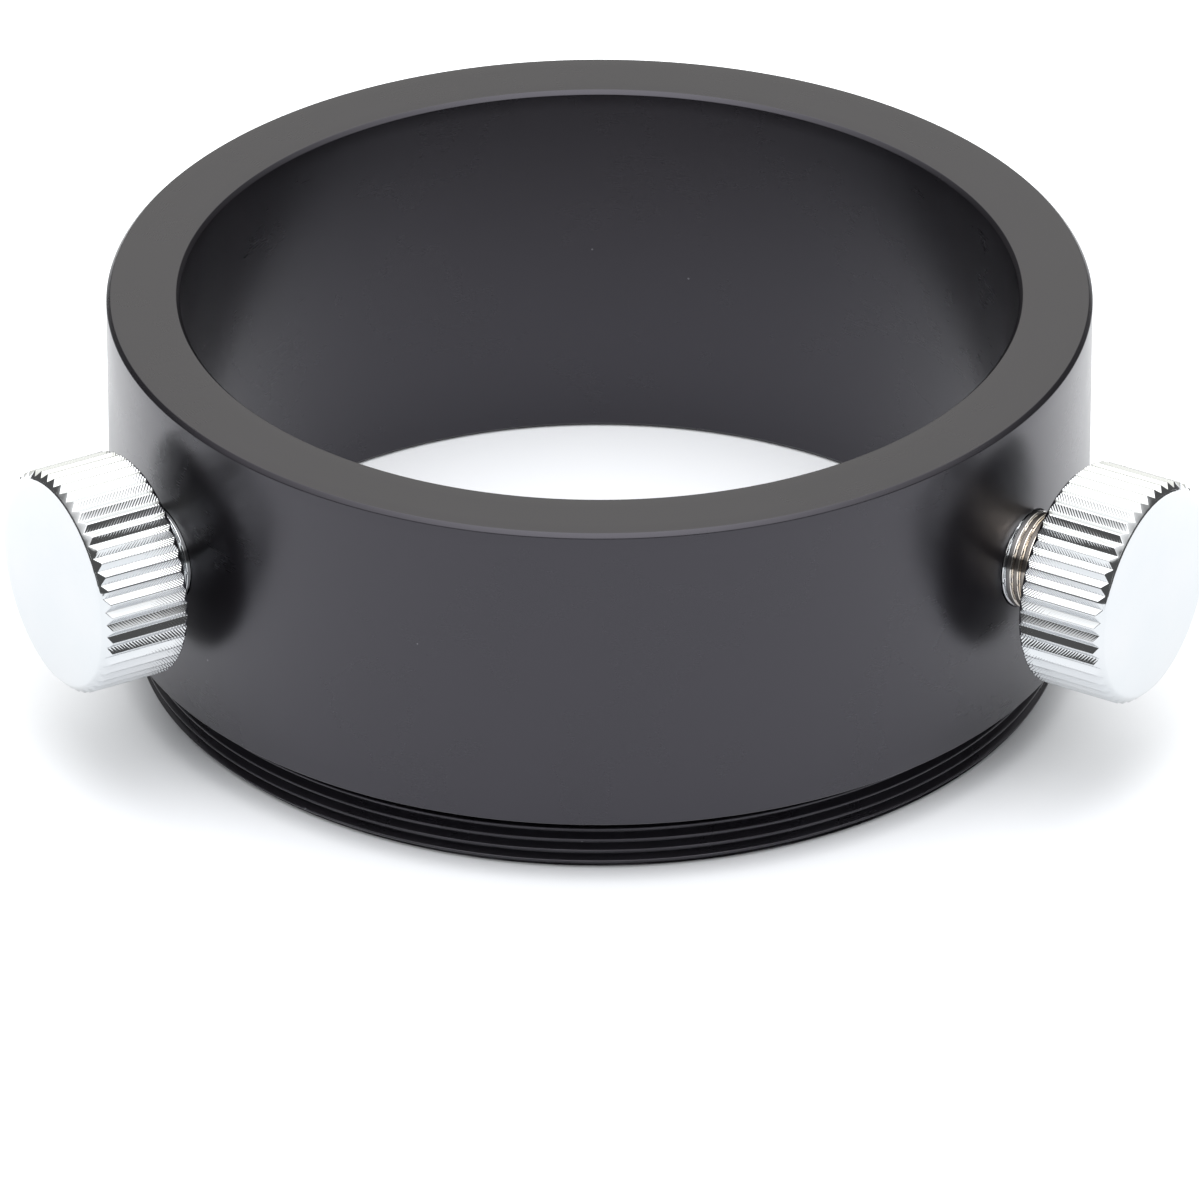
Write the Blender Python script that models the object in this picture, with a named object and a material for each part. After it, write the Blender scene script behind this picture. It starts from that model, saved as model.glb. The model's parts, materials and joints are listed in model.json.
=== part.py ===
"""Telescope eyepiece holder for two-inch barrels.

A turned ring with a plain bore and a male threaded spigot, and two knurled
thumbscrews through its wall that clamp the barrel of an eyepiece.

Origin: on the bore's axis, in the flat end face of the spigot. +Z runs up the
bore towards the eyepiece. The screws stand either side of the front, -Y.
"""

import math

import bmesh
import bpy
from mathutils import Vector

MM = 0.001

# Bore and walls of the ring
BARREL_DIAMETER = 50.8 * MM
BARREL_CLEARANCE = 0.2 * MM
BODY_WALL = 4.5 * MM
BODY_HEIGHT = 20.0 * MM
EDGE_CHAMFER = 0.25 * MM

# Threaded spigot under the body
SPIGOT_WALL = 3.0 * MM
SPIGOT_LENGTH = 4.0 * MM
SPIGOT_CHAMFER = 0.5 * MM
RELIEF_WIDTH = 0.8 * MM
RELIEF_DEPTH = 0.7 * MM
UNDERCUT_DEPTH = 0.2 * MM
UNDERCUT_MARGIN = 0.25 * MM

# Thumbscrew stem, and where the two screws stand
STEM_DIAMETER = 6.0 * MM
STEM_CLEARANCE = 0.07 * MM
STEM_SPARE = 2.5 * MM
STEM_CHAMFER = 0.4 * MM
SCREW_HEIGHT = 10.0 * MM
SCREW_ANGLE = math.radians(60.0)
LEFT_HEAD_GAP = 1.95 * MM
RIGHT_HEAD_GAP = 3.05 * MM

# Knurled head
HEAD_DIAMETER = 13.8 * MM
HEAD_LENGTH = 5.7 * MM
TOOTH_COUNT = 50
TOOTH_DEPTH = 0.28 * MM
TOOTH_LAND = 0.08 * MM
FACE_CHAMFER_BELOW_TEETH = 0.2 * MM
BACK_CHAMFER_BELOW_TEETH = 0.05 * MM

# Soft tip seated in the end of each stem
TIP_DIAMETER = 3.0 * MM
TIP_CLEARANCE = 0.05 * MM
TIP_SEAT_DEPTH = 2.0 * MM
TIP_BACK_GAP = 0.3 * MM
TIP_OVERHANG = 0.5 * MM
TIP_CHAMFER = 0.25 * MM

# Facets around each round form
RING_FACETS = 120
STEM_FACETS = 48
TIP_FACETS = 24
SHARP_ANGLE = math.radians(20.0)

# Sizes that follow from the ones above
BORE_RADIUS = (BARREL_DIAMETER + BARREL_CLEARANCE) / 2
BODY_RADIUS = BORE_RADIUS + BODY_WALL
SPIGOT_RADIUS = BORE_RADIUS + SPIGOT_WALL
RELIEF_RADIUS = SPIGOT_RADIUS - RELIEF_DEPTH
RING_HEIGHT = SPIGOT_LENGTH + BODY_HEIGHT
SCREW_Z = SPIGOT_LENGTH + SCREW_HEIGHT
STEM_RADIUS = STEM_DIAMETER / 2
STEM_LENGTH = BODY_WALL + STEM_SPARE
HEAD_RADIUS = HEAD_DIAMETER / 2
VALLEY_RADIUS = HEAD_RADIUS - TOOTH_DEPTH
FACE_RADIUS = VALLEY_RADIUS - FACE_CHAMFER_BELOW_TEETH
BACK_RADIUS = VALLEY_RADIUS - BACK_CHAMFER_BELOW_TEETH
TIP_RADIUS = TIP_DIAMETER / 2
TIP_LENGTH = TIP_SEAT_DEPTH - TIP_BACK_GAP + TIP_OVERHANG


def clear_scene():
    """Start from an empty file."""
    for old in list(bpy.data.objects):
        bpy.data.objects.remove(old, do_unlink=True)


def finish_material(name, color, metallic, roughness):
    """One Principled BSDF for one finish."""
    material = bpy.data.materials.new(name)
    material.use_nodes = True
    shader = material.node_tree.nodes["Principled BSDF"]
    shader.inputs["Base Color"].default_value = (*color, 1.0)
    shader.inputs["Metallic"].default_value = metallic
    shader.inputs["Roughness"].default_value = roughness
    return material


def mesh_from(bm, name, material):
    """Close a bmesh into a mesh with outward faces, smooth but for its edges."""
    bmesh.ops.recalc_face_normals(bm, faces=bm.faces)
    mesh = bpy.data.meshes.new(name)
    bm.to_mesh(mesh)
    bm.free()
    mesh.shade_smooth()
    mesh.set_sharp_from_angle(angle=SHARP_ANGLE)
    mesh.materials.append(material)
    return mesh


def add_object(name, mesh, parent=None, place=(0.0, 0.0, 0.0)):
    """Put a mesh into the scene, under its parent."""
    piece = bpy.data.objects.new(name, mesh)
    piece.parent = parent
    piece.location = place
    bpy.context.scene.collection.objects.link(piece)
    return piece


def screw_axis(name, angle):
    """An empty on a screw's axis: it sits in the bore, its +Z points outwards.

    The angle is counted from the front, -Y, towards +X.
    """
    empty = bpy.data.objects.new(name, None)
    outward = Vector((math.sin(angle), -math.cos(angle), 0.0))
    empty.rotation_mode = "QUATERNION"
    empty.rotation_quaternion = outward.to_track_quat("Z", "Y")
    empty.location = (0.0, 0.0, SCREW_Z)
    bpy.context.scene.collection.objects.link(empty)
    return empty


def turned(profile, facets, name, material):
    """Spin a closed (radius, height) profile around Z."""
    bm = bmesh.new()
    corners = [bm.verts.new((radius, 0.0, height)) for radius, height in profile]
    edges = [bm.edges.new(pair) for pair in zip(corners, corners[1:] + corners[:1])]
    bmesh.ops.spin(bm, geom=corners + edges, cent=(0, 0, 0), axis=(0, 0, 1),
                   angle=2 * math.pi, steps=facets, use_merge=True)
    bmesh.ops.remove_doubles(bm, verts=bm.verts, dist=0.001 * MM)
    return mesh_from(bm, name, material)


def ring_profile():
    """Half section of the ring, from the bore's lower edge round to it again.

    The thread relief is cut a little way into the shoulder too, so what the
    spigot screws into seats on the clean band outside it.
    """
    cut = EDGE_CHAMFER
    return [
        (BORE_RADIUS + cut, 0.0),
        (SPIGOT_RADIUS - SPIGOT_CHAMFER, 0.0),
        (SPIGOT_RADIUS, SPIGOT_CHAMFER),
        (SPIGOT_RADIUS, SPIGOT_LENGTH - RELIEF_WIDTH),
        (RELIEF_RADIUS, SPIGOT_LENGTH - RELIEF_WIDTH),
        (RELIEF_RADIUS, SPIGOT_LENGTH + UNDERCUT_DEPTH),
        (SPIGOT_RADIUS + UNDERCUT_MARGIN, SPIGOT_LENGTH + UNDERCUT_DEPTH),
        (SPIGOT_RADIUS + UNDERCUT_MARGIN, SPIGOT_LENGTH),
        (BODY_RADIUS - cut, SPIGOT_LENGTH),
        (BODY_RADIUS, SPIGOT_LENGTH + cut),
        (BODY_RADIUS, RING_HEIGHT - cut),
        (BODY_RADIUS - cut, RING_HEIGHT),
        (BORE_RADIUS + cut, RING_HEIGHT),
        (BORE_RADIUS, RING_HEIGHT - cut),
        (BORE_RADIUS, cut),
    ]


def drill(ring, name, axis, radius):
    """Cut a hole of the given radius through the wall, along a screw's axis."""
    depth = BODY_WALL * 2
    bm = bmesh.new()
    bmesh.ops.create_cone(bm, cap_ends=True, segments=STEM_FACETS, radius1=radius,
                          radius2=radius, depth=depth)
    mesh = bpy.data.meshes.new(name)
    bm.to_mesh(mesh)
    bm.free()
    cutter = add_object(name, mesh, axis, (0.0, 0.0, (BORE_RADIUS + BODY_RADIUS) / 2))
    cutter.hide_render = True
    cutter.display_type = "WIRE"
    hole = ring.modifiers.new(name, "BOOLEAN")
    hole.operation = "DIFFERENCE"
    hole.solver = "EXACT"
    hole.object = cutter


def circle(radius, height, facets):
    """Points of one level circle around Z."""
    step = 2 * math.pi / facets
    return [Vector((radius * math.cos(i * step), radius * math.sin(i * step), height))
            for i in range(facets)]


def knurl_outline(crest, valley):
    """Radius and angle of each corner of the straight knurl, tooth by tooth.

    Every tooth is a ridge with a narrow land on its crest, and a V on either
    side that ends in a land of the same width.
    """
    half_crest = TOOTH_LAND / crest / 2
    half_valley = TOOTH_LAND / valley / 2
    corners = []
    for tooth in range(TOOTH_COUNT):
        top = 2 * math.pi * tooth / TOOTH_COUNT
        low = top + math.pi / TOOTH_COUNT
        corners += [(crest, top - half_crest), (crest, top + half_crest),
                    (valley, low - half_valley), (valley, low + half_valley)]
    return corners


def wall(bm, lower, upper):
    """Join two rings that have the same number of points."""
    count = len(lower)
    for i in range(count):
        j = (i + 1) % count
        bm.faces.new((lower[i], lower[j], upper[j], upper[i]))


def loop_edges(bm, points):
    """The edges around one ring of points."""
    return [bm.edges.get(pair) or bm.edges.new(pair)
            for pair in zip(points, points[1:] + points[:1])]


def thumbscrew_mesh(material):
    """Knurled head and stem in one piece; z = 0 is the inner face of the head.

    The stem runs down from it and ends in the round seat of the soft tip.
    """
    bm = bmesh.new()

    def add(points):
        return [bm.verts.new(point) for point in points]

    def polar(radius, angle, height):
        return Vector((radius * math.cos(angle), radius * math.sin(angle), height))

    corners = knurl_outline(HEAD_RADIUS, VALLEY_RADIUS)
    # The turned chamfers at 45 degrees meet each corner at its own height.
    root = add(polar(BACK_RADIUS, angle, 0.0) for radius, angle in corners)
    collar = add(polar(radius, angle, radius - BACK_RADIUS) for radius, angle in corners)
    shoulder = add(polar(radius, angle, HEAD_LENGTH - (radius - FACE_RADIUS))
                   for radius, angle in corners)
    rim = add(polar(FACE_RADIUS, angle, HEAD_LENGTH) for radius, angle in corners)
    wall(bm, root, collar)
    wall(bm, collar, shoulder)
    wall(bm, shoulder, rim)
    bm.faces.new(rim)

    seat = TIP_RADIUS + TIP_CLEARANCE
    stations = [
        (STEM_RADIUS, 0.0),
        (STEM_RADIUS, STEM_CHAMFER - STEM_LENGTH),
        (STEM_RADIUS - STEM_CHAMFER, -STEM_LENGTH),
        (seat, -STEM_LENGTH),
        (seat, TIP_SEAT_DEPTH - STEM_LENGTH),
    ]
    rings = [add(circle(radius, height, STEM_FACETS)) for radius, height in stations]
    for lower, upper in zip(rings, rings[1:]):
        wall(bm, lower, upper)
    bm.faces.new(rings[-1])
    flat = loop_edges(bm, root) + loop_edges(bm, rings[0])
    bmesh.ops.triangle_fill(bm, edges=flat, use_beauty=True)
    return mesh_from(bm, "thumbscrew", material)


def tip_mesh(material):
    """Soft tip: a short plug; z = 0 is the end of the stem that holds it."""
    bm = bmesh.new()
    back = TIP_LENGTH - TIP_OVERHANG
    stations = [
        (TIP_RADIUS, back),
        (TIP_RADIUS, TIP_CHAMFER - TIP_OVERHANG),
        (TIP_RADIUS - TIP_CHAMFER, -TIP_OVERHANG),
    ]
    rings = [[bm.verts.new(point) for point in circle(radius, height, TIP_FACETS)]
             for radius, height in stations]
    for lower, upper in zip(rings, rings[1:]):
        wall(bm, lower, upper)
    bm.faces.new(rings[0])
    bm.faces.new(rings[-1])
    return mesh_from(bm, "screw_tip", material)


def build():
    clear_scene()
    anodised = finish_material("black_anodised", (0.035, 0.034, 0.037), 0.6, 0.42)
    plated = finish_material("bright_plating", (0.86, 0.87, 0.89), 1.0, 0.08)
    nylon = finish_material("white_nylon", (0.82, 0.80, 0.74), 0.0, 0.45)

    ring = add_object("ring", turned(ring_profile(), RING_FACETS, "ring", anodised))
    screw = thumbscrew_mesh(plated)
    tip = tip_mesh(nylon)
    sides = {"left": (-SCREW_ANGLE, LEFT_HEAD_GAP), "right": (SCREW_ANGLE, RIGHT_HEAD_GAP)}
    for side, (angle, head_gap) in sides.items():
        axis = screw_axis(side + "_screw_axis", angle)
        drill(ring, side + "_tapped_hole", axis, STEM_RADIUS + STEM_CLEARANCE)
        seat = BODY_RADIUS + head_gap
        add_object(side + "_thumbscrew", screw, axis, (0.0, 0.0, seat))
        add_object(side + "_screw_tip", tip, axis, (0.0, 0.0, seat - STEM_LENGTH))


build()
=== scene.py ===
# %% [markdown]
# # A telescope eyepiece holder in Blender
# The real object is a short black ring that a two-inch eyepiece slides into. It is turned from
# aluminium bar and anodised, has a fine thread round its lower end, and carries two bright knurled
# thumbscrews that clamp the eyepiece's barrel.
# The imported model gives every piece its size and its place, so it is loaded first and never moved.

# %% Load the fixed frame
import json
import math

import bpy
import numpy as np
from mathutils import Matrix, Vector


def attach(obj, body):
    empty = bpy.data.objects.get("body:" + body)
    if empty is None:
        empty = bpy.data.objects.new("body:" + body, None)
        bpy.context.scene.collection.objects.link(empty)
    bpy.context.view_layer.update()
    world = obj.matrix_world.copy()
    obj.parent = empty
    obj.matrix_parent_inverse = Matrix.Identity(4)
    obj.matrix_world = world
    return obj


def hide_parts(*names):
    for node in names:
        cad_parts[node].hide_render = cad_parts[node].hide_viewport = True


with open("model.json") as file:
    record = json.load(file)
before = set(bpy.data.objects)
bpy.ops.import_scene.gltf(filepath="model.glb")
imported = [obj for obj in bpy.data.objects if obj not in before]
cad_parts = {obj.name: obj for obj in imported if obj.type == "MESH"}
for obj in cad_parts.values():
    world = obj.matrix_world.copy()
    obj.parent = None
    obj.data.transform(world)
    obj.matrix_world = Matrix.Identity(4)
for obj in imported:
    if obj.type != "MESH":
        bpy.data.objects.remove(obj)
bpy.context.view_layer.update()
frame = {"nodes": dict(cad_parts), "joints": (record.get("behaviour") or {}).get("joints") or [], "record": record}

print("nodes in the frame:", sorted(frame["nodes"]))

# %% [markdown]
# ## Sizes that the frame already knows
# A turned ring is described by a few radii and heights. Instead of writing them down again we
# measure them on the frame's own ring: the largest radius, the bore, the height of the shoulder.
# The joints tell where each thumbscrew's axis runs, where its head starts and how far its thread
# carries it in one turn.

# %% Measure the ring
MM = 0.001
SAME = 0.01 * MM


def node_points(name):
    """All corners of one node of the frame as an array, in metres."""
    mesh = frame["nodes"][name].data
    flat = np.empty(len(mesh.vertices) * 3)
    mesh.vertices.foreach_get("co", flat)
    return flat.reshape(-1, 3)


ring_points = node_points("ring")
ring_radii = np.hypot(ring_points[:, 0], ring_points[:, 1])
ring_height = ring_points[:, 2].max()
body_radius = ring_radii.max()
top_radii = ring_radii[ring_points[:, 2] > ring_height - SAME]
end_radii = ring_radii[ring_points[:, 2] < SAME]
edge_chamfer = body_radius - top_radii.max()
bore_radius = top_radii.min() - edge_chamfer
print("ring: radius %.2f, bore %.2f, height %.2f, chamfer %.2f mm"
      % tuple(v / MM for v in (body_radius, bore_radius, ring_height, edge_chamfer)))

# %% Measure the spigot under the shoulder
def heights_at(radius):
    """Heights of the ring's corners that lie at one radius."""
    return ring_points[:, 2][np.abs(ring_radii - radius) < SAME]


def radii_at(height):
    """Radii of the ring's corners that lie at one height."""
    return ring_radii[np.abs(ring_points[:, 2] - height) < SAME]


shoulder_z = heights_at(top_radii.max()).min()
spigot_radius = ring_radii[ring_points[:, 2] < shoulder_z - SAME].max()
spigot_chamfer = spigot_radius - end_radii.max()
thread_top = heights_at(spigot_radius).max()
relief_radius = radii_at(thread_top).min()
seat_radius = radii_at(shoulder_z).min()
undercut_z = heights_at(relief_radius).max()
print("spigot: radius %.2f, relief %.2f, seat from %.2f mm"
      % tuple(v / MM for v in (spigot_radius, relief_radius, seat_radius)))
print("heights: thread to %.2f, shoulder %.2f, relief to %.2f mm"
      % tuple(v / MM for v in (thread_top, shoulder_z, undercut_z)))

# %% Measure the thumbscrews
joints = {joint["name"]: joint for joint in frame["joints"]}
couplings = frame["record"]["behaviour"]["couplings"]
thread_pitch = 2 * math.pi * couplings[0]["ratio"]
screws = {}
for side in ("left", "right"):
    outward = np.array(joints[side + "_screw_turn"]["axis"], float)
    outward /= np.linalg.norm(outward)
    head_start = np.array(joints[side + "_screw_turn"]["pos_m"], float)
    points = node_points(side + "_thumbscrew") - head_start
    along = points @ outward
    across = np.linalg.norm(points - along[:, None] * outward, axis=1)
    between_ends = (along > SAME) & (along < along.max() - SAME)
    screws[side] = {
        "outward": outward, "start": head_start,
        "head_length": along.max(), "stem_length": -along.min(),
        "crest": across.max(), "valley": across[between_ends].min(),
        "face": across[along > along.max() - SAME].max(),
        "back": across[np.abs(along) < SAME].max(),
        "stem": across[along < -MM].max(),
    }
    print(side, "screw in mm:", {key: round(float(value) / MM, 2)
                                 for key, value in screws[side].items() if np.ndim(value) == 0})
print("pitch of the screws' thread: %.3f mm" % (thread_pitch / MM))

# %% [markdown]
# ## The camera comes first
# Every later choice is judged in the picture, so the camera is set before any piece is made.
# The photograph was taken from far away with a long lens, 30 degrees above the table: the ring's
# circles look almost like parallel ellipses. A camera could be placed by eye, but this one was
# fitted to those circles, so that every edge falls where the photograph has it. The long side of
# the picture is 1200 pixels.

# %% Camera
CAMERA_DISTANCE = 0.8731
CAMERA_ELEVATION = math.radians(30.19)
CAMERA_TURN = math.radians(-0.67)
AIM_HEIGHT = 2.14 * MM
FOCAL_PIXELS = 14179.0
LONG_SIDE_PIXELS = 1200.0
SENSOR_WIDTH = 36.0

camera_data = bpy.data.cameras.new("photo_camera")
camera_data.sensor_width = SENSOR_WIDTH
camera_data.lens = FOCAL_PIXELS * SENSOR_WIDTH / LONG_SIDE_PIXELS
camera_data.clip_end = 20.0
camera = bpy.data.objects.new("photo_camera", camera_data)
bpy.context.scene.collection.objects.link(camera)
aim = Vector((0.0, 0.0, AIM_HEIGHT))
toward = Vector((-math.sin(CAMERA_TURN) * math.cos(CAMERA_ELEVATION),
                 -math.cos(CAMERA_TURN) * math.cos(CAMERA_ELEVATION),
                 math.sin(CAMERA_ELEVATION)))
camera.location = aim + toward * CAMERA_DISTANCE
camera.rotation_euler = (-toward).to_track_quat("-Z", "Y").to_euler()
bpy.context.scene.camera = camera
print("lens: %.1f mm, %.2f m from the ring" % (camera_data.lens, CAMERA_DISTANCE))

# %% [markdown]
# ## From a grid of numbers to a mesh
# Everything on this object was made on a lathe, so one helper serves all of it. It takes a grid of
# points: each row is one circle round the piece and the rows follow each other along its profile.
# Neighbouring points become four-sided faces. `foreach_set` hands the whole arrays to Blender at
# once, which is much faster than adding vertices one by one.

# %% Grid to mesh
SHARP_ANGLE = math.radians(60.0)


def closed_mesh(name, points, quads, triangles=None):
    """A mesh from arrays: corner points, four-sided faces and, if any, three-sided ones."""
    triangles = np.empty((0, 3), int) if triangles is None else triangles
    loops = np.concatenate([quads.ravel(), triangles.ravel()])
    sizes = np.concatenate([np.full(len(quads), 4), np.full(len(triangles), 3)])
    starts = np.concatenate([[0], np.cumsum(sizes)[:-1]])
    mesh = bpy.data.meshes.new(name)
    mesh.vertices.add(len(points))
    mesh.vertices.foreach_set("co", points.astype(np.float32).ravel())
    mesh.loops.add(len(loops))
    mesh.loops.foreach_set("vertex_index", loops.astype(np.int32))
    mesh.polygons.add(len(sizes))
    mesh.polygons.foreach_set("loop_start", starts.astype(np.int32))
    mesh.update(calc_edges=True)
    mesh.validate()
    mesh.shade_smooth()
    mesh.set_sharp_from_angle(angle=SHARP_ANGLE)
    return mesh


def grid_quads(rows, columns, loop_rows):
    """Corner numbers of the faces of a grid whose columns close into circles.

    Face (i, j) joins the points (i, j), (i, j + 1), (i + 1, j + 1) and (i + 1, j).
    """
    i = np.arange(rows if loop_rows else rows - 1)[:, None]
    j = np.arange(columns)[None, :]
    below, beside = (i + 1) % rows, (j + 1) % columns
    corners = (i * columns + j, i * columns + beside, below * columns + beside, below * columns + j)
    return np.stack(corners, axis=-1).reshape(-1, 4)


def add_piece(name, mesh, material=None):
    """Put a finished mesh into the scene; its object stays at the origin."""
    piece = bpy.data.objects.new(name, mesh)
    if material is not None:
        mesh.materials.append(material)
    bpy.context.scene.collection.objects.link(piece)
    print(name, "has", len(mesh.polygons), "faces")
    return piece


# %% [markdown]
# ### Even shading
# Smooth shading blends the directions of neighbouring faces, and that would make a wide flat look
# bent beside a tiny rounded edge. The Weighted Normal modifier lets large faces count for more, so
# flats stay flat right up to their edges.

# %% Bake modifiers and even out the shading
def baked(piece):
    """A plain mesh of a piece with all its modifiers carried out."""
    bpy.context.view_layer.update()
    evaluated = piece.evaluated_get(bpy.context.evaluated_depsgraph_get())
    return bpy.data.meshes.new_from_object(evaluated)


def even_shading(piece):
    """Weight the shading directions by the size of the faces and keep the result."""
    weighted = piece.modifiers.new("even_shading", "WEIGHTED_NORMAL")
    weighted.keep_sharp = True
    mesh = baked(piece)
    piece.modifiers.clear()
    piece.data = mesh


# %% [markdown]
# ## Profiles with soft corners
# No machined edge is perfectly sharp: a tiny radius on every corner is what catches the light.
# A Bevel modifier could round the edges later, but here it would have to find them among threads
# and teeth, so the rounding is part of the profile. A profile is written as a few corners, each is
# rounded with a small arc, and the long runs between them are divided so that the later steps have
# points to move. A profile is an array of rows and columns: with one column it is the same all the
# way round, with many it can change as we go round.

# %% Rounded and divided profiles
CORNER_STEPS = 4
LONGEST_ARC = 0.4


def rounded(corners, radius, closed):
    """Replace each corner of a profile by a short arc.

    The profile is an array over corner, column, and radius and height. The arc is a quadratic
    curve: it starts and ends at the same small distance from the corner, at most LONGEST_ARC of
    the shorter run beside it, and each of its points is (1-t)^2 a + 2t(1-t) corner + t^2 b.
    """
    before, after = np.roll(corners, 1, axis=0), np.roll(corners, -1, axis=0)
    gap_before = np.linalg.norm(before - corners, axis=-1, keepdims=True)
    gap_after = np.linalg.norm(after - corners, axis=-1, keepdims=True)
    reach = np.minimum(radius, LONGEST_ARC * np.minimum(gap_before, gap_after))
    start = corners + (before - corners) / gap_before * reach
    end = corners + (after - corners) / gap_after * reach
    t = np.linspace(0.0, 1.0, CORNER_STEPS + 1)[None, :, None, None]
    arcs = ((1 - t) ** 2 * start[:, None] + 2 * t * (1 - t) * corners[:, None]
            + t ** 2 * end[:, None])
    if closed:
        return arcs.reshape(-1, *corners.shape[1:])
    inner = arcs[1:-1].reshape(-1, *corners.shape[1:])
    return np.concatenate([corners[:1], inner, corners[-1:]])


def divided(profile, step, closed):
    """Divide each run of a profile into pieces no longer than step(radius, height)."""
    ends = np.roll(profile, -1, axis=0) if closed else profile[1:]
    pieces = []
    for a, b in zip(profile, ends):
        middle_radius, middle_height = (a + b).mean(axis=0) / 2
        longest = np.linalg.norm(b - a, axis=-1).max()
        count = max(1, math.ceil(longest / step(middle_radius, middle_height)))
        pieces.append(a + (b - a) * np.arange(count)[:, None, None] / count)
    if not closed:
        pieces.append(profile[-1:])
    return np.concatenate(pieces)


# %% [markdown]
# ## Screw threads as a height over the turned surface
# A thread is a ridge that climbs by one pitch in one turn. It could be swept along a helix, but
# then it would have to be joined to the turned body at both ends. A formula needs no joining: on a
# turned surface the thread's height depends only on `position / pitch - angle / 360`. The whole
# part of that number counts the turns and its fraction says where we are between two ridges.
# A full thread has a crest an eighth of the pitch wide and a root a tenth wide, and its flanks lean
# 60 degrees. The screws' stems are turned a little thin before they are threaded, so their crests
# come out wide and their grooves narrow.

# %% Thread ridge
FLANK_SLOPE = math.tan(math.radians(60.0))
FULL_THREAD = {"crest": 0.125, "root": 0.1, "ease": 0.2}
THIN_THREAD = {"crest": 0.66, "root": 0.0, "ease": 0.7}


def ridge(turns, form):
    """Height of a thread, 0 at the root and 1 at the crest.

    With u the fraction of a turn, the saw |2u - 1| runs from 1 at the crest to 0 at the root. It is
    stretched and cut off so that crest and root are flat, then blended with 3h^2 - 2h^3 by the
    form's ease, which rounds the edges of crest and root.
    """
    saw = np.abs(2 * np.mod(turns, 1.0) - 1.0)
    height = np.clip((saw - form["root"]) / (1.0 - form["root"] - form["crest"]), 0.0, 1.0)
    return height + form["ease"] * (3 * height ** 2 - 2 * height ** 3 - height)


def threaded(radius, along, angle, pitch, form, crest, start, stop):
    """Cut a thread into a turned surface.

    Between start and stop the radius is lowered to crest - depth * (1 - ridge), but never raised,
    so that chamfers and grooves keep their own form.
    """
    depth = (1.0 - form["crest"] - form["root"]) / 2 * pitch * FLANK_SLOPE
    cut = crest - depth * (1.0 - ridge(along / pitch - angle / (2 * math.pi), form))
    inside = (along > start) & (along < stop)
    return np.where(inside, np.minimum(radius, cut), radius)


# %% [markdown]
# ## The ring
# The ring is one closed profile carried once round: end face, thread, relief groove, shoulder,
# outer wall, top face and bore, each edge with its small chamfer. The wall's lower edge is only
# just broken. Blender's Screw modifier can carry a profile round as well, but a grid of our own
# lets the thread be cut before the mesh is made. The rows are close together where the thread is
# cut and wide apart on plain walls.

# %% Turn the ring
RING_COLUMNS = 400
EDGE_RADIUS = 0.05 * MM
LOWER_EDGE = 0.07 * MM
THREAD_ROWS_PER_PITCH = 22
WALL_STEP = 1.0 * MM
MALE_PITCH = 0.75 * MM


def ring_step(radius, height):
    """Length of a profile run: fine on the thread, coarse elsewhere."""
    on_thread = height < thread_top and radius > relief_radius
    return MALE_PITCH / THREAD_ROWS_PER_PITCH if on_thread else WALL_STEP


ring_corners = np.array([
    (bore_radius + edge_chamfer, 0.0),
    (spigot_radius - spigot_chamfer, 0.0),
    (spigot_radius, spigot_chamfer),
    (spigot_radius, thread_top),
    (relief_radius, thread_top),
    (relief_radius, undercut_z),
    (seat_radius, undercut_z),
    (seat_radius, shoulder_z),
    (body_radius - LOWER_EDGE, shoulder_z),
    (body_radius, shoulder_z + LOWER_EDGE),
    (body_radius, ring_height - edge_chamfer),
    (body_radius - edge_chamfer, ring_height),
    (bore_radius + edge_chamfer, ring_height),
    (bore_radius, ring_height - edge_chamfer),
    (bore_radius, edge_chamfer),
])[:, None]
ring_profile = divided(rounded(ring_corners, EDGE_RADIUS, True), ring_step, True)
angles = np.arange(RING_COLUMNS) * 2 * math.pi / RING_COLUMNS
ring_radius, ring_z, around = np.broadcast_arrays(ring_profile[..., 0], ring_profile[..., 1],
                                                  angles)
cut_radius = threaded(ring_radius, ring_z, around, MALE_PITCH, FULL_THREAD, spigot_radius, 0.0,
                      thread_top)
outside = ring_radius > (bore_radius + relief_radius) / 2
ring_radius = np.where(outside, cut_radius, ring_radius)
ring_grid = np.stack([ring_radius * np.cos(around), ring_radius * np.sin(around), ring_z], axis=-1)
ring_mesh = closed_mesh("eyepiece_ring", ring_grid.reshape(-1, 3),
                        grid_quads(len(ring_profile), RING_COLUMNS, True))
ring = add_piece("eyepiece_ring", ring_mesh)

# %% [markdown]
# ## The tapped holes
# Each thumbscrew runs in a hole through the wall. A drill is just a closed cylinder along the
# screw's axis, so we make one with the same grid helper and let the Boolean modifier take it away.
# The result is kept as a plain mesh and the drills are deleted.

# %% Basis vectors of a screw
def screw_frame(outward):
    """Three unit vectors: two across the screw, the first of them level, and one along it."""
    along = outward / np.linalg.norm(outward)
    level = np.cross([0.0, 0.0, 1.0], along)
    level /= np.linalg.norm(level)
    return np.stack([level, np.cross(along, level), along])


def revolve(profile, columns, axes, start):
    """Carry a one-column profile round a screw's axis.

    Point = start + position * along + radius * (cos * level + sin * up). The profile's first and
    last points lie on the axis, and become single poles closed by fans of triangles.
    """
    angle = np.arange(columns) * 2 * math.pi / columns
    radius, along = profile[1:-1, :, 0], profile[1:-1, :, 1]
    grid = (radius[..., None] * (np.cos(angle)[None, :, None] * axes[0]
                                 + np.sin(angle)[None, :, None] * axes[1])
            + along[..., None] * axes[2])
    return closed_with_poles(grid, start, profile[0, 0, 1], profile[-1, 0, 1], axes)


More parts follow.
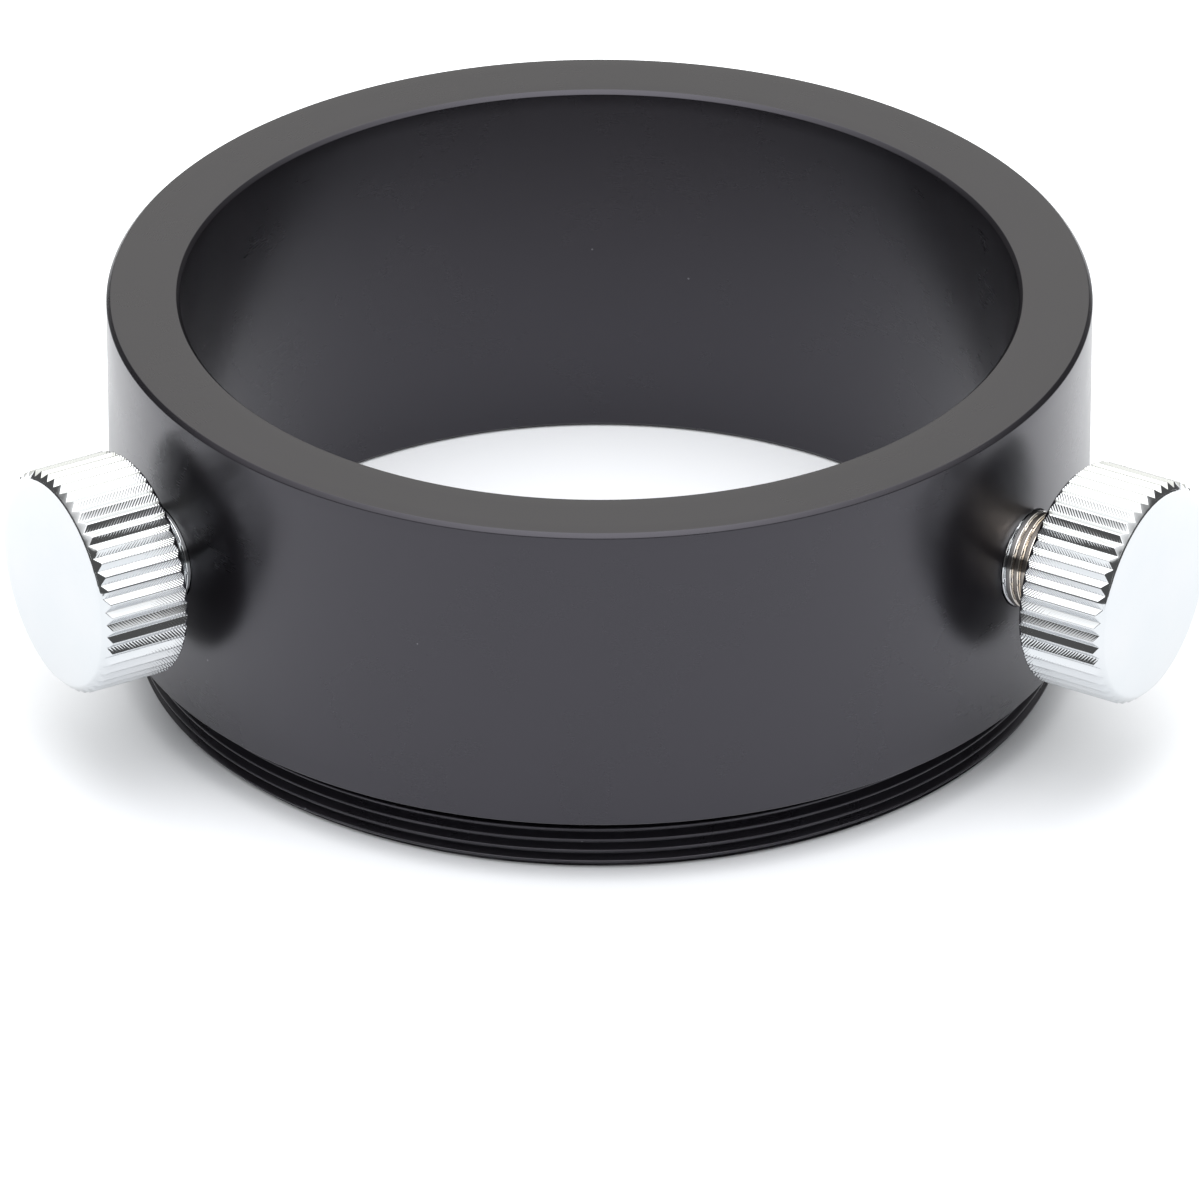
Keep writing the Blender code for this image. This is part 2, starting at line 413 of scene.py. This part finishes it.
def closed_with_poles(grid, start, first, last, axes):
    """Points, quads and end fans of a grid that closes onto its axis at both ends."""
    rows, columns = grid.shape[:2]
    points = np.concatenate([grid.reshape(-1, 3), [first * axes[2], last * axes[2]]]) + start
    j = np.arange(columns)
    beside = (j + 1) % columns
    base = (rows - 1) * columns
    low_pole, high_pole = rows * columns, rows * columns + 1
    low = np.stack([beside, j, np.full(columns, low_pole)], axis=-1)
    high = np.stack([base + j, base + beside, np.full(columns, high_pole)], axis=-1)
    return points, grid_quads(rows, columns, False), np.concatenate([low, high])


# %% Drill the holes
HOLE_COLUMNS = 96
HOLE_CLEARANCE = 0.07 * MM
wall_middle = (bore_radius + body_radius) / 2
wall_reach = body_radius - bore_radius
for side, screw in screws.items():
    hole_radius = screw["stem"] + HOLE_CLEARANCE
    middle = wall_middle * screw["outward"] + np.array([0.0, 0.0, screw["start"][2]])
    drill_profile = np.array([(0.0, -wall_reach), (hole_radius, -wall_reach),
                              (hole_radius, wall_reach), (0.0, wall_reach)])[:, None]
    drill_data = revolve(drill_profile, HOLE_COLUMNS, screw_frame(screw["outward"]), middle)
    drill = add_piece(side + "_drill", closed_mesh(side + "_drill", *drill_data))
    hole = ring.modifiers.new(side + "_hole", "BOOLEAN")
    hole.operation = "DIFFERENCE"
    hole.solver = "EXACT"
    hole.object = drill
drilled = baked(ring)
ring.modifiers.clear()
ring.data = drilled
drilled.shade_smooth()
drilled.set_sharp_from_angle(angle=SHARP_ANGLE)
even_shading(ring)
for side in screws:
    bpy.data.objects.remove(bpy.data.objects[side + "_drill"], do_unlink=True)
print("drilled ring has", len(ring.data.polygons), "faces")

# %% [markdown]
# ## The thumbscrews
# Head and stem are turned and knurled from one bar. Straight knurling is a row of V-shaped grooves
# along the head. Fifty Boolean cuts could make them, but they are slow and leave slivers, and the
# same form comes from a head whose radius goes up and down as we walk round it. Both ends of the
# head are chamfered at 45 degrees after the knurling: the higher a tooth stands, the earlier the
# chamfer starts on it, so every column of the grid gets its own profile. The stem gets the same
# thread helper as the ring.

# %% Knurl around the head
TOOTH_COUNT = 50
CREST_HALF = 0.06
VALLEY_HALF = 0.02
TOOTH_EASE = 0.012
TOOTH_PHASES = np.array([0.048, 0.06, 0.072, 0.47, 0.5, 0.53, 0.928, 0.94, 0.952])


def knurl(teeth):
    """Depth of the knurl below its crest, 0 on a crest and 1 in a valley.

    With u the fraction of a tooth, its distance from the crest is min(u, 1 - u). The depth rises
    straight from the edge of the crest's land to the edge of the valley's. The mean of three places
    a little apart rounds both edges.
    """
    shifted = np.stack([teeth - TOOTH_EASE, teeth, teeth + TOOTH_EASE])
    share = np.mod(shifted, 1.0)
    away = np.minimum(share, 1.0 - share)
    depth = np.clip((away - CREST_HALF) / (0.5 - CREST_HALF - VALLEY_HALF), 0.0, 1.0)
    return depth.mean(axis=0)


# %% Turn a thumbscrew
STEM_CHAMFER = 0.4 * MM
TIP_SEAT_RADIUS = 1.55 * MM
TIP_SEAT_DEPTH = 2.0 * MM
HEAD_EDGE_RADIUS = 0.04 * MM
FACE_EDGE_RADIUS = 0.13 * MM
STEM_ROWS_PER_PITCH = 10
HEAD_STEP = 0.5 * MM


def thumbscrew(side, screw):
    """One thumbscrew as a closed grid: tip seat, threaded stem, knurled head and flat face."""
    stem_end, stem, length = -screw["stem_length"], screw["stem"], screw["head_length"]
    back, face = screw["back"], screw["face"]
    teeth = (np.arange(TOOTH_COUNT)[:, None] + TOOTH_PHASES[None, :]).ravel()
    angle = teeth * 2 * math.pi / TOOTH_COUNT
    tooth = screw["crest"] - (screw["crest"] - screw["valley"]) * knurl(teeth)
    corners = [
        (0.0, stem_end + TIP_SEAT_DEPTH), (TIP_SEAT_RADIUS, stem_end + TIP_SEAT_DEPTH),
        (TIP_SEAT_RADIUS, stem_end), (stem - STEM_CHAMFER, stem_end),
        (stem, stem_end + STEM_CHAMFER), (stem, 0.0), (back, 0.0),
        (tooth, tooth - back), (tooth, length - (tooth - face)), (face, length), (0.0, length),
    ]
    corners = np.array([np.broadcast_arrays(*corner, tooth)[:2] for corner in corners])
    corners = corners.swapaxes(1, 2)

    def step(radius, position):
        on_thread = position < 0.0 and radius > stem - STEM_CHAMFER
        return thread_pitch / STEM_ROWS_PER_PITCH if on_thread else HEAD_STEP

    radii = np.full(len(corners), HEAD_EDGE_RADIUS)
    radii[-2] = FACE_EDGE_RADIUS
    profile = divided(rounded(corners, radii[:, None, None], False), step, False)
    radius, along = profile[1:-1, :, 0], profile[1:-1, :, 1]
    on_stem = (along < 0.0) & (radius > TIP_SEAT_RADIUS + HEAD_EDGE_RADIUS)
    cut_stem = threaded(radius, along, angle, thread_pitch, THIN_THREAD, stem, stem_end,
                        -HEAD_EDGE_RADIUS)
    radius = np.where(on_stem, cut_stem, radius)[..., None]
    axes = screw_frame(screw["outward"])
    grid = (radius * (np.cos(angle)[None, :, None] * axes[0]
                      + np.sin(angle)[None, :, None] * axes[1])
            + along[..., None] * axes[2])
    data = closed_with_poles(grid, screw["start"], profile[0, 0, 1], profile[-1, 0, 1], axes)
    name = side + "_knurled_screw"
    piece = add_piece(name, closed_mesh(name, *data))
    even_shading(piece)
    return piece


knurled = {side: thumbscrew(side, screw) for side, screw in screws.items()}

# %% [markdown]
# ## Shared effects as node groups
# Two effects appear in more than one finish, so each is a node group with named inputs and outputs.
# *Turning marks* are the fine lines a lathe leaves: noise that changes quickly along the radius and
# the height and not at all round the axis. *Patches* are the slow, cloudy changes of gloss that a
# hand or the plating bath leaves behind. Pictures could carry both, but noise over the piece's own
# coordinates has no seam and stays sharp close up.

# %% Helpers for node groups
def new_group(name, inputs, outputs):
    """An empty shader node group with float or vector sockets."""
    group = bpy.data.node_groups.new(name, "ShaderNodeTree")
    for socket, kind, value in inputs:
        made = group.interface.new_socket(socket, in_out="INPUT", socket_type=kind)
        if value is not None:
            made.default_value = value
    for socket, kind in outputs:
        group.interface.new_socket(socket, in_out="OUTPUT", socket_type=kind)
    entry = group.nodes.new("NodeGroupInput")
    leave = group.nodes.new("NodeGroupOutput")
    return group, entry, leave


def math_node(tree, operation, first, second=None):
    """A math node whose inputs are sockets or plain numbers."""
    node = tree.nodes.new("ShaderNodeMath")
    node.operation = operation
    for slot, value in enumerate((first, second)):
        if value is None:
            continue
        if isinstance(value, (int, float)):
            node.inputs[slot].default_value = value
        else:
            tree.links.new(value, node.inputs[slot])
    return node.outputs[0]


def distance_from_axis(tree, split):
    """The square root of x^2 + y^2, from a node that separates a vector."""
    squares = [math_node(tree, "MULTIPLY", split.outputs[i], split.outputs[i]) for i in (0, 1)]
    return math_node(tree, "SQRT", math_node(tree, "ADD", *squares))


# %% Turning marks
TURNING_DETAIL = 3.0


def make_turning_marks():
    """Lines round the Z axis of its input vector: noise over (radius, height) alone."""
    group, entry, leave = new_group(
        "turning_marks",
        [("Vector", "NodeSocketVector", None), ("Lines per mm", "NodeSocketFloat", 8.0)],
        [("Lines", "NodeSocketFloat")])
    split = group.nodes.new("ShaderNodeSeparateXYZ")
    group.links.new(entry.outputs["Vector"], split.inputs[0])
    radius = distance_from_axis(group, split)
    per_metre = math_node(group, "MULTIPLY", entry.outputs["Lines per mm"], 1000.0)
    join = group.nodes.new("ShaderNodeCombineXYZ")
    group.links.new(math_node(group, "MULTIPLY", radius, per_metre), join.inputs[0])
    group.links.new(math_node(group, "MULTIPLY", split.outputs[2], per_metre), join.inputs[1])
    noise = group.nodes.new("ShaderNodeTexNoise")
    noise.inputs["Scale"].default_value = 1.0
    noise.inputs["Detail"].default_value = TURNING_DETAIL
    group.links.new(join.outputs[0], noise.inputs["Vector"])
    group.links.new(noise.outputs["Fac"], leave.inputs["Lines"])
    return group


turning_marks = make_turning_marks()


# %% Patches
PATCH_DETAIL = 4.0
PATCH_ROUGHNESS = 0.55
PATCH_LOW, PATCH_HIGH = 0.3, 0.7


def make_patches():
    """Slow cloudy noise, stretched to run from 0 to 1."""
    group, entry, leave = new_group(
        "patches",
        [("Vector", "NodeSocketVector", None), ("Scale", "NodeSocketFloat", 120.0)],
        [("Cloud", "NodeSocketFloat")])
    noise = group.nodes.new("ShaderNodeTexNoise")
    noise.inputs["Detail"].default_value = PATCH_DETAIL
    noise.inputs["Roughness"].default_value = PATCH_ROUGHNESS
    group.links.new(entry.outputs["Vector"], noise.inputs["Vector"])
    group.links.new(entry.outputs["Scale"], noise.inputs["Scale"])
    stretch = group.nodes.new("ShaderNodeMapRange")
    stretch.inputs["From Min"].default_value = PATCH_LOW
    stretch.inputs["From Max"].default_value = PATCH_HIGH
    group.links.new(noise.outputs["Fac"], stretch.inputs["Value"])
    group.links.new(stretch.outputs[0], leave.inputs["Cloud"])
    return group


patches = make_patches()
print("node groups:", [group.name for group in bpy.data.node_groups])

# %% [markdown]
# ## Black anodised aluminium
# Anodising grows a thin dyed oxide on the metal. It looks like dark satin plastic: a near-black
# colour with a hint of violet under a clear, slightly rough surface, so it is a dielectric here and
# not a metal. Seen along the wall it reflects the pale room, which the shader's own Fresnel does.


# %% Helpers for materials
def new_material(name):
    """A material with its Principled shader and an Object coordinate node."""
    material = bpy.data.materials.new(name)
    material.use_nodes = True
    tree = material.node_tree
    place = tree.nodes.new("ShaderNodeTexCoord")
    return material, tree, tree.nodes["Principled BSDF"], place.outputs["Object"]


def use_group(tree, group, vector, **values):
    """Place a shared effect in a material, with its own values."""
    node = tree.nodes.new("ShaderNodeGroup")
    node.node_tree = group
    tree.links.new(vector, node.inputs["Vector"])
    for name, value in values.items():
        node.inputs[name.replace("_", " ")].default_value = value
    return node.outputs[0]


def ramp(tree, value, target, source=(0.0, 1.0), smooth=False):
    """Map a value from the source range to the target range, in a straight or a smooth step."""
    node = tree.nodes.new("ShaderNodeMapRange")
    if smooth:
        node.interpolation_type = "SMOOTHSTEP"
    node.inputs["From Min"].default_value = source[0]
    node.inputs["From Max"].default_value = source[1]
    node.inputs["To Min"].default_value = target[0]
    node.inputs["To Max"].default_value = target[1]
    tree.links.new(value, node.inputs["Value"])
    return node.outputs[0]


def mix_colors(tree, factor, first, second):
    """Blend two colours by a factor socket."""
    node = tree.nodes.new("ShaderNodeMix")
    node.data_type = "RGBA"
    tree.links.new(factor, node.inputs["Factor"])
    for socket, value in ((node.inputs[6], first), (node.inputs[7], second)):
        if isinstance(value, tuple):
            socket.default_value = (*value, 1.0)
        else:
            tree.links.new(value, socket)
    return node.outputs[2]


def bump(tree, shader, height, distance, strength=1.0):
    """Feed a height into the shader's normal."""
    node = tree.nodes.new("ShaderNodeBump")
    node.inputs["Distance"].default_value = distance
    node.inputs["Strength"].default_value = strength
    tree.links.new(height, node.inputs["Height"])
    tree.links.new(node.outputs["Normal"], shader.inputs["Normal"])


# %% Anodised finish
ANODISED_DARK = (0.0042, 0.0038, 0.0048)
ANODISED_PALE = (0.0058, 0.0052, 0.0066)
OXIDE_IOR = 1.65
OXIDE_TINT = (0.76, 0.735, 0.835)
OXIDE_ROUGHNESS = (0.26, 0.30)
OXIDE_CLOUD_SCALE = 140.0
WALL_LINES_PER_MM = 9.0
WALL_LINE_HEIGHT = 0.0003 * MM
WALL_LINE_ROUGHNESS = (-0.006, 0.006)
SPECK_COLOR = (0.12, 0.12, 0.13)
SPECK_CELL_SCALE = 300.0
SPECK_RADIUS = 0.022
SPECK_CUT = 0.55


def make_anodised():
    """Satin black with faint turning marks, cloudy gloss and a few pale specks of dust."""
    material, tree, shader, vector = new_material("black_anodised")
    lines = use_group(tree, turning_marks, vector, Lines_per_mm=WALL_LINES_PER_MM)
    cloud = use_group(tree, patches, vector, Scale=OXIDE_CLOUD_SCALE)
    color = mix_colors(tree, cloud, ANODISED_DARK, ANODISED_PALE)
    # Specks: the middle of some cells of a Voronoi pattern, picked by the cell's own random colour.
    cells = tree.nodes.new("ShaderNodeTexVoronoi")
    cells.inputs["Scale"].default_value = SPECK_CELL_SCALE
    tree.links.new(vector, cells.inputs["Vector"])
    near = math_node(tree, "LESS_THAN", cells.outputs["Distance"], SPECK_RADIUS)
    pick = tree.nodes.new("ShaderNodeSeparateColor")
    tree.links.new(cells.outputs["Color"], pick.inputs[0])
    chosen = math_node(tree, "GREATER_THAN", pick.outputs[0], SPECK_CUT)
    speck = math_node(tree, "MULTIPLY", near, chosen)
    tree.links.new(mix_colors(tree, speck, color, SPECK_COLOR), shader.inputs["Base Color"])
    roughness = math_node(tree, "ADD", ramp(tree, cloud, OXIDE_ROUGHNESS),
                          ramp(tree, lines, WALL_LINE_ROUGHNESS))
    tree.links.new(roughness, shader.inputs["Roughness"])
    shader.inputs["Metallic"].default_value = 0.0
    shader.inputs["IOR"].default_value = OXIDE_IOR
    shader.inputs["Specular Tint"].default_value = (*OXIDE_TINT, 1.0)
    bump(tree, shader, lines, WALL_LINE_HEIGHT)
    return material


anodised = make_anodised()
ring.data.materials.clear()
ring.data.materials.append(anodised)
print("ring's finish:", anodised.name)

# %% [markdown]
# ## Bright plating
# The thumbscrews are brass with a bright chrome skin. Chrome is a nearly colourless mirror with a
# cold tint, so its look comes from what it reflects. A mirror-smooth value would look like computer
# chrome: a little roughness, faint lathe lines on the face and the slanting ripple that the
# knurling wheel leaves on the teeth bring it down to earth. On one stem the skin is thinner and
# lets the brass warm it. A Mapping node turns the pattern into the screw's own axis, so that z is
# the distance from the head's inner side.


# %% Plated finish
PLATING_COLD = (0.575, 0.595, 0.61)
PLATING_WARM = (0.60, 0.61, 0.62)
PLATING_ROUGHNESS = (0.05, 0.10)
PLATING_CLOUD_SCALE = 220.0
FACE_LINES_PER_MM = 14.0
FACE_LINE_HEIGHT = 0.0006
FACE_LINE_ROUGHNESS = (-0.02, 0.03)
STEM_TINT = (0.70, 0.64, 0.57)
STEM_WARMTH = {"left": 0.0, "right": 1.0}
STEM_WARM_ZONE = (-3.0 * MM, -2.4 * MM)
STEM_START = -0.05 * MM
RIPPLE_PERIOD = 0.2 * MM
RIPPLE_SLANT = 1.2
RIPPLE_WANDER = 9.0
RIPPLE_AT_BACK, RIPPLE_AT_FACE = 0.0045, 0.0015


def make_plating(side, screw):
    """Bright chrome for one thumbscrew, with its marks round that screw's own axis."""
    material, tree, shader, vector = new_material(side + "_bright_plating")
    turn = tree.nodes.new("ShaderNodeMapping")
    turn.vector_type = "TEXTURE"
    turn.inputs["Location"].default_value = screw["start"]
    rotation = Vector(screw["outward"]).to_track_quat("Z", "Y").to_euler()
    turn.inputs["Rotation"].default_value = rotation
    tree.links.new(vector, turn.inputs["Vector"])
    split = tree.nodes.new("ShaderNodeSeparateXYZ")
    tree.links.new(turn.outputs[0], split.inputs[0])
    radius, along = distance_from_axis(tree, split), split.outputs[2]
    lines = use_group(tree, turning_marks, turn.outputs[0], Lines_per_mm=FACE_LINES_PER_MM)
    cloud = use_group(tree, patches, turn.outputs[0], Scale=PLATING_CLOUD_SCALE)
    chrome = mix_colors(tree, cloud, PLATING_COLD, PLATING_WARM)
    below_head = math_node(tree, "LESS_THAN", along, STEM_START)
    thin_skin = ramp(tree, along, (0.0, STEM_WARMTH[side]), STEM_WARM_ZONE)
    warm = math_node(tree, "MULTIPLY", below_head, thin_skin)
    tree.links.new(mix_colors(tree, warm, chrome, STEM_TINT), shader.inputs["Base Color"])
    roughness = math_node(tree, "ADD", ramp(tree, cloud, PLATING_ROUGHNESS),
                          ramp(tree, lines, FACE_LINE_ROUGHNESS))
    tree.links.new(roughness, shader.inputs["Roughness"])
    shader.inputs["Metallic"].default_value = 1.0
    # Ripple: sine of (position + slant * radius) on the teeth alone, fading towards the face.
    # Its height is in millimetres, and the Bump node's distance makes it one.
    slanted = math_node(tree, "ADD", along, math_node(tree, "MULTIPLY", radius, RIPPLE_SLANT))
    waves = math_node(tree, "MULTIPLY", slanted, 2 * math.pi / RIPPLE_PERIOD)
    wander = ramp(tree, cloud, (0.0, RIPPLE_WANDER))
    waves = math_node(tree, "SINE", math_node(tree, "ADD", waves, wander))
    on_teeth = math_node(tree, "GREATER_THAN", radius, float(screw["valley"] + screw["face"]) / 2)
    reach = ramp(tree, along, (RIPPLE_AT_BACK, RIPPLE_AT_FACE), (0.0, float(screw["head_length"])))
    ripple = math_node(tree, "MULTIPLY", math_node(tree, "MULTIPLY", waves, on_teeth), reach)
    height = math_node(tree, "ADD", ripple, math_node(tree, "MULTIPLY", lines, FACE_LINE_HEIGHT))
    bump(tree, shader, height, MM)
    return material


for side, screw in screws.items():
    plating = make_plating(side, screw)
    knurled[side].data.materials.append(plating)
    print(side, "screw's finish:", plating.name)

# %% [markdown]
# ## Nylon tips
# A small plug of nylon in the end of each stem keeps the metal off the eyepiece's barrel. It is so
# small and plain that the frame's own mesh serves, and it only needs a finish. Nylon is milky:
# light goes in a little way, so it gets a touch of subsurface scattering.


# %% Nylon finish
NYLON_DARK = (0.80, 0.78, 0.72)
NYLON_PALE = (0.84, 0.82, 0.77)
NYLON_ROUGHNESS = (0.40, 0.52)
NYLON_CLOUD_SCALE = 900.0
NYLON_MILKINESS = 0.15
NYLON_LIGHT_DEPTH = 0.5 * MM
NYLON_MOTTLE_HEIGHT = 0.004 * MM


def make_nylon():
    """Milky white plastic with a very soft mottle."""
    material, tree, shader, vector = new_material("white_nylon")
    cloud = use_group(tree, patches, vector, Scale=NYLON_CLOUD_SCALE)
    tree.links.new(mix_colors(tree, cloud, NYLON_DARK, NYLON_PALE), shader.inputs["Base Color"])
    tree.links.new(ramp(tree, cloud, NYLON_ROUGHNESS), shader.inputs["Roughness"])
    shader.inputs["Subsurface Weight"].default_value = NYLON_MILKINESS
    shader.inputs["Subsurface Scale"].default_value = NYLON_LIGHT_DEPTH
    bump(tree, shader, cloud, NYLON_MOTTLE_HEIGHT)
    return material


nylon = make_nylon()
for side in screws:
    tip = frame["nodes"][side + "_screw_tip"]
    tip.data.materials.clear()
    tip.data.materials.append(nylon)
    print(side, "tip's finish:", nylon.name)

# %% [markdown]
# ## What rides on what
# The detailed pieces stand for the plain ones of the frame and move with the same bodies: the ring
# stays, and each screw turns and advances.

# %% Bind the pieces
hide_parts("ring")
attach(ring, "holder")
for side in screws:
    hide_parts(side + "_thumbscrew")
    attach(knurled[side], side + "_screw")
print("pieces bound:", ring.name, *[piece.name for piece in knurled.values()])

# %% [markdown]
# ## Floor
# The photograph is a plain studio picture of the ring on a sheet of white paper. The ring mirrors
# that sheet, so its light and shade show in the black walls. Both are painted onto the paper: a
# painted glow (emission, though the paper is no lamp) at the back, which draws the bright edges of
# the wall, and a painted shade, a darker paper colour, over its front half inside the bore.

# %% Floor
FLOOR_SIZE = 0.45
FLOOR_ROUGHNESS = 0.9
FLOOR_CLOUD_SCALE = 3.0
PAPER_COOL = (0.83, 0.845, 0.87)
PAPER_PALE = (0.85, 0.865, 0.89)
# Painted shade: the paper's colour is darker over the front half inside the bore.
PAINTED_PAPER_SHADE = (0.59, 0.585, 0.60)
SHADE_RADII = (25 * MM, 28 * MM)
SHADE_DEPTHS = (-10 * MM, 17 * MM)
# Painted glow: emission on the paper at the back, away from the ring, though the paper is no lamp.
PAINTED_GLOW = 0.32
GLOW_RADII = (32 * MM, 50 * MM)
GLOW_DEPTHS = (-6 * MM, 20 * MM)


def make_floor():
    """Paper with a painted glow at the back and a painted shade in the front of the bore.

    Shade and glow are each one step over the distance from the axis times one over y.
    """
    material, tree, shader, vector = new_material("pale_floor")
    cloud = use_group(tree, patches, vector, Scale=FLOOR_CLOUD_SCALE)
    split = tree.nodes.new("ShaderNodeSeparateXYZ")
    tree.links.new(vector, split.inputs[0])
    radius, depth = distance_from_axis(tree, split), split.outputs[1]
    # Painted shade: darker paper colour inside the bore, towards its front wall, where that wall's shadow falls.
    inside = ramp(tree, radius, (1.0, 0.0), SHADE_RADII)
    forward = ramp(tree, depth, (1.0, 0.0), SHADE_DEPTHS)
    paper = mix_colors(tree, cloud, PAPER_COOL, PAPER_PALE)
    shade = math_node(tree, "MULTIPLY", inside, forward)
    tree.links.new(mix_colors(tree, shade, paper, PAINTED_PAPER_SHADE), shader.inputs["Base Color"])
    # Painted glow: emission that brightens the paper behind the ring.
    away = ramp(tree, radius, (0.0, 1.0), GLOW_RADII, smooth=True)
    to_back = ramp(tree, depth, (0.0, PAINTED_GLOW), GLOW_DEPTHS, smooth=True)
    glow = math_node(tree, "MULTIPLY", away, to_back)
    tree.links.new(glow, shader.inputs["Emission Strength"])
    shader.inputs["Emission Color"].default_value = (1.0, 1.0, 1.0, 1.0)
    shader.inputs["Roughness"].default_value = FLOOR_ROUGHNESS
    shader.inputs["Specular IOR Level"].default_value = 0.0
    return material


floor_grid = np.array([(x, y, 0.0) for y in (-1, 1) for x in (-1, 1)]) * FLOOR_SIZE / 2
floor_mesh = bpy.data.meshes.new("floor")
floor_mesh.from_pydata(floor_grid.tolist(), [], [(0, 1, 3, 2)])
floor = add_piece("floor", floor_mesh, make_floor())

# %% [markdown]
# ## Light
# Shiny things are drawn by what they mirror, so the room matters more than any lamp. Area lamps
# would stand in the chrome as hard-edged panels, so the room is a world instead, whose brightness
# depends on the direction alone. It is dark low down, a large soft light hangs overhead and leans
# to the front, ending 25 degrees above the horizon, and a sheet of lit paper hangs behind the ring.
# The chrome heads show all three: white, grey and black.

# %% Soft room
DIM = 0.12
OVERHEAD_TILT = math.radians(14.0)
OVERHEAD_TOWARD = (0.0, -math.sin(OVERHEAD_TILT), math.cos(OVERHEAD_TILT))
OVERHEAD_GAIN = 3.7
OVERHEAD_RANGE = (0.15, 0.985)
OVERHEAD_POWER = 2.2
OVERHEAD_ENDS = (0.38, 0.48)
BACKDROP_TOWARD = (0.0, 0.78, 0.62)
BACKDROP_GAIN = 0.92
BACKDROP_RANGE = (0.78, 0.93)
BACKDROP_COLOR = (1.0, 0.995, 0.93)


def part_toward(tree, direction, toward):
    """How much of a direction points towards a fixed one: their dot product."""
    node = tree.nodes.new("ShaderNodeVectorMath")
    node.operation = "DOT_PRODUCT"
    tree.links.new(direction, node.inputs[0])
    node.inputs[1].default_value = toward
    return node.outputs["Value"]


def make_room():
    """A world lit from above: dim + gain * rise^power, plus the lit paper behind.

    rise runs from 0 to 1 with the part towards the overhead light, and a smooth step of the upward
    part ends that light. The backdrop's share is a smooth step of the part towards it. The camera
    itself sees plain white.
    """
    world = bpy.data.worlds.new("soft_room")
    world.use_nodes = True
    tree = world.node_tree
    # In a world, these coordinates are the direction that a ray runs in.
    direction = tree.nodes.new("ShaderNodeTexCoord").outputs["Generated"]
    rise = ramp(tree, part_toward(tree, direction, OVERHEAD_TOWARD), (0.0, 1.0), OVERHEAD_RANGE)
    overhead = math_node(tree, "MULTIPLY", math_node(tree, "POWER", rise, OVERHEAD_POWER),
                         OVERHEAD_GAIN)
    split = tree.nodes.new("ShaderNodeSeparateXYZ")
    tree.links.new(direction, split.inputs[0])
    reach = ramp(tree, split.outputs[2], (0.0, 1.0), OVERHEAD_ENDS, smooth=True)
    lamp = math_node(tree, "MULTIPLY", overhead, reach)
    behind = ramp(tree, part_toward(tree, direction, BACKDROP_TOWARD), (0.0, 1.0),
                  BACKDROP_RANGE, smooth=True)
    backdrop = math_node(tree, "MULTIPLY", behind, BACKDROP_GAIN)
    glow = math_node(tree, "ADD", math_node(tree, "ADD", lamp, backdrop), DIM)
    path = tree.nodes.new("ShaderNodeLightPath")
    seen = math_node(tree, "MAXIMUM", glow, path.outputs["Is Camera Ray"])
    tree.links.new(seen, tree.nodes["Background"].inputs["Strength"])
    tint = mix_colors(tree, behind, (1.0, 1.0, 1.0), BACKDROP_COLOR)
    tree.links.new(tint, tree.nodes["Background"].inputs["Color"])
    return world


room = make_room()
bpy.context.scene.world = room
bpy.context.scene.view_settings.view_transform = "Standard"
print("room:", room.name)
